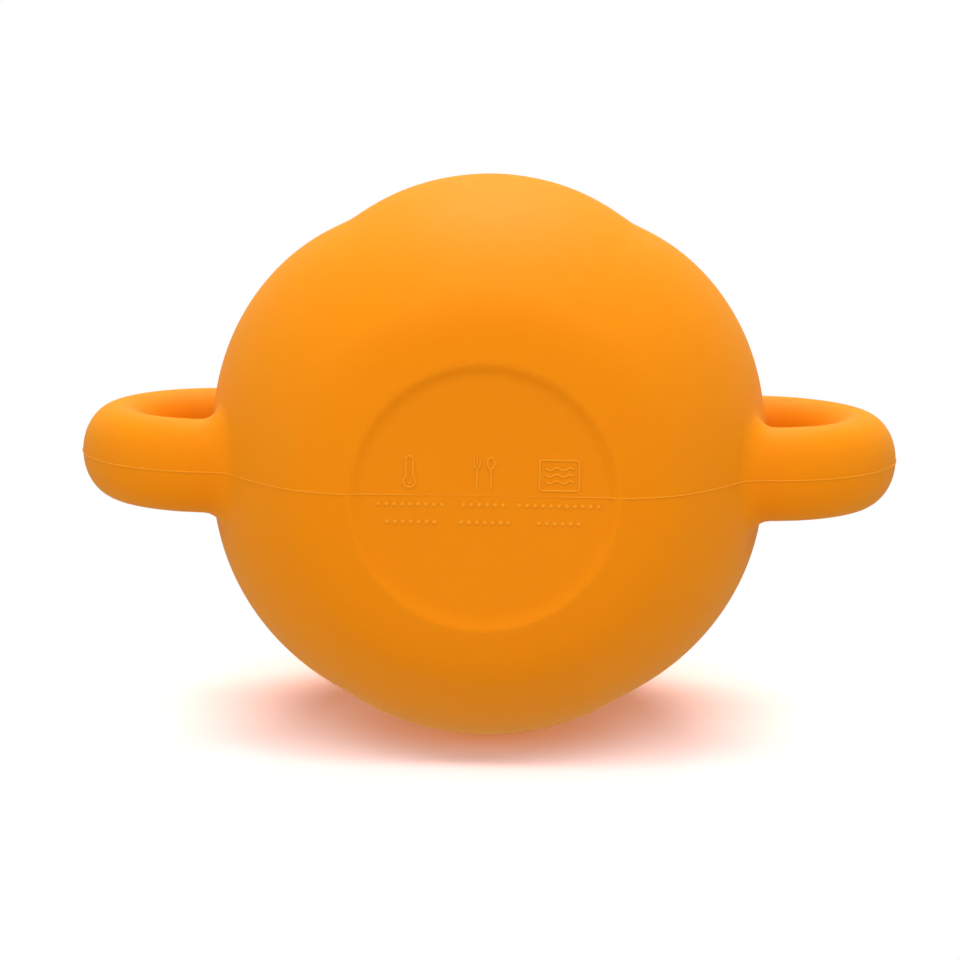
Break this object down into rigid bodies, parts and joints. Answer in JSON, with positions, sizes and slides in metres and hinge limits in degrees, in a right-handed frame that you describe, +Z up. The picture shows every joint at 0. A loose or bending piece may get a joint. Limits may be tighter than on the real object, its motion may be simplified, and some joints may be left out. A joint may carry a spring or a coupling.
{
  "type": "silicone training cup",
  "caption": "Globe-shaped soft silicone training cup with four soft lobes, a ring handle on each side, a plug lid and a sliding straw.",
  "frame": {"origin": "centre of the foot, on the plane the cup stands on", "axes": "+Z up along the cup's axis, X through the two ring handles, -Y towards the drinking side with the lid's tab and straw"},
  "size_m": [0.1272, 0.0872, 0.1205],
  "materials": {
    "cup_silicone": "matte orange silicone",
    "lid_silicone": "matte orange silicone",
    "straw_silicone": "milky pale orange silicone"
  },
  "bodies": {
    "cup": {"cup_body": "cup_silicone", "handle_left": "cup_silicone", "handle_right": "cup_silicone"},
    "lid": {"lid": "lid_silicone"},
    "straw": {"straw": "straw_silicone"}
  },
  "joints": [
    {"name": "lid_lift", "type": "slide", "parent": "cup", "child": "lid", "axis": [0, 0, 1], "range_m": [0, 0.08]},
    {"name": "straw_slide", "type": "slide", "parent": "lid", "child": "straw", "axis": [0, 0, 1], "range_m": [0, 0.08]}
  ]
}
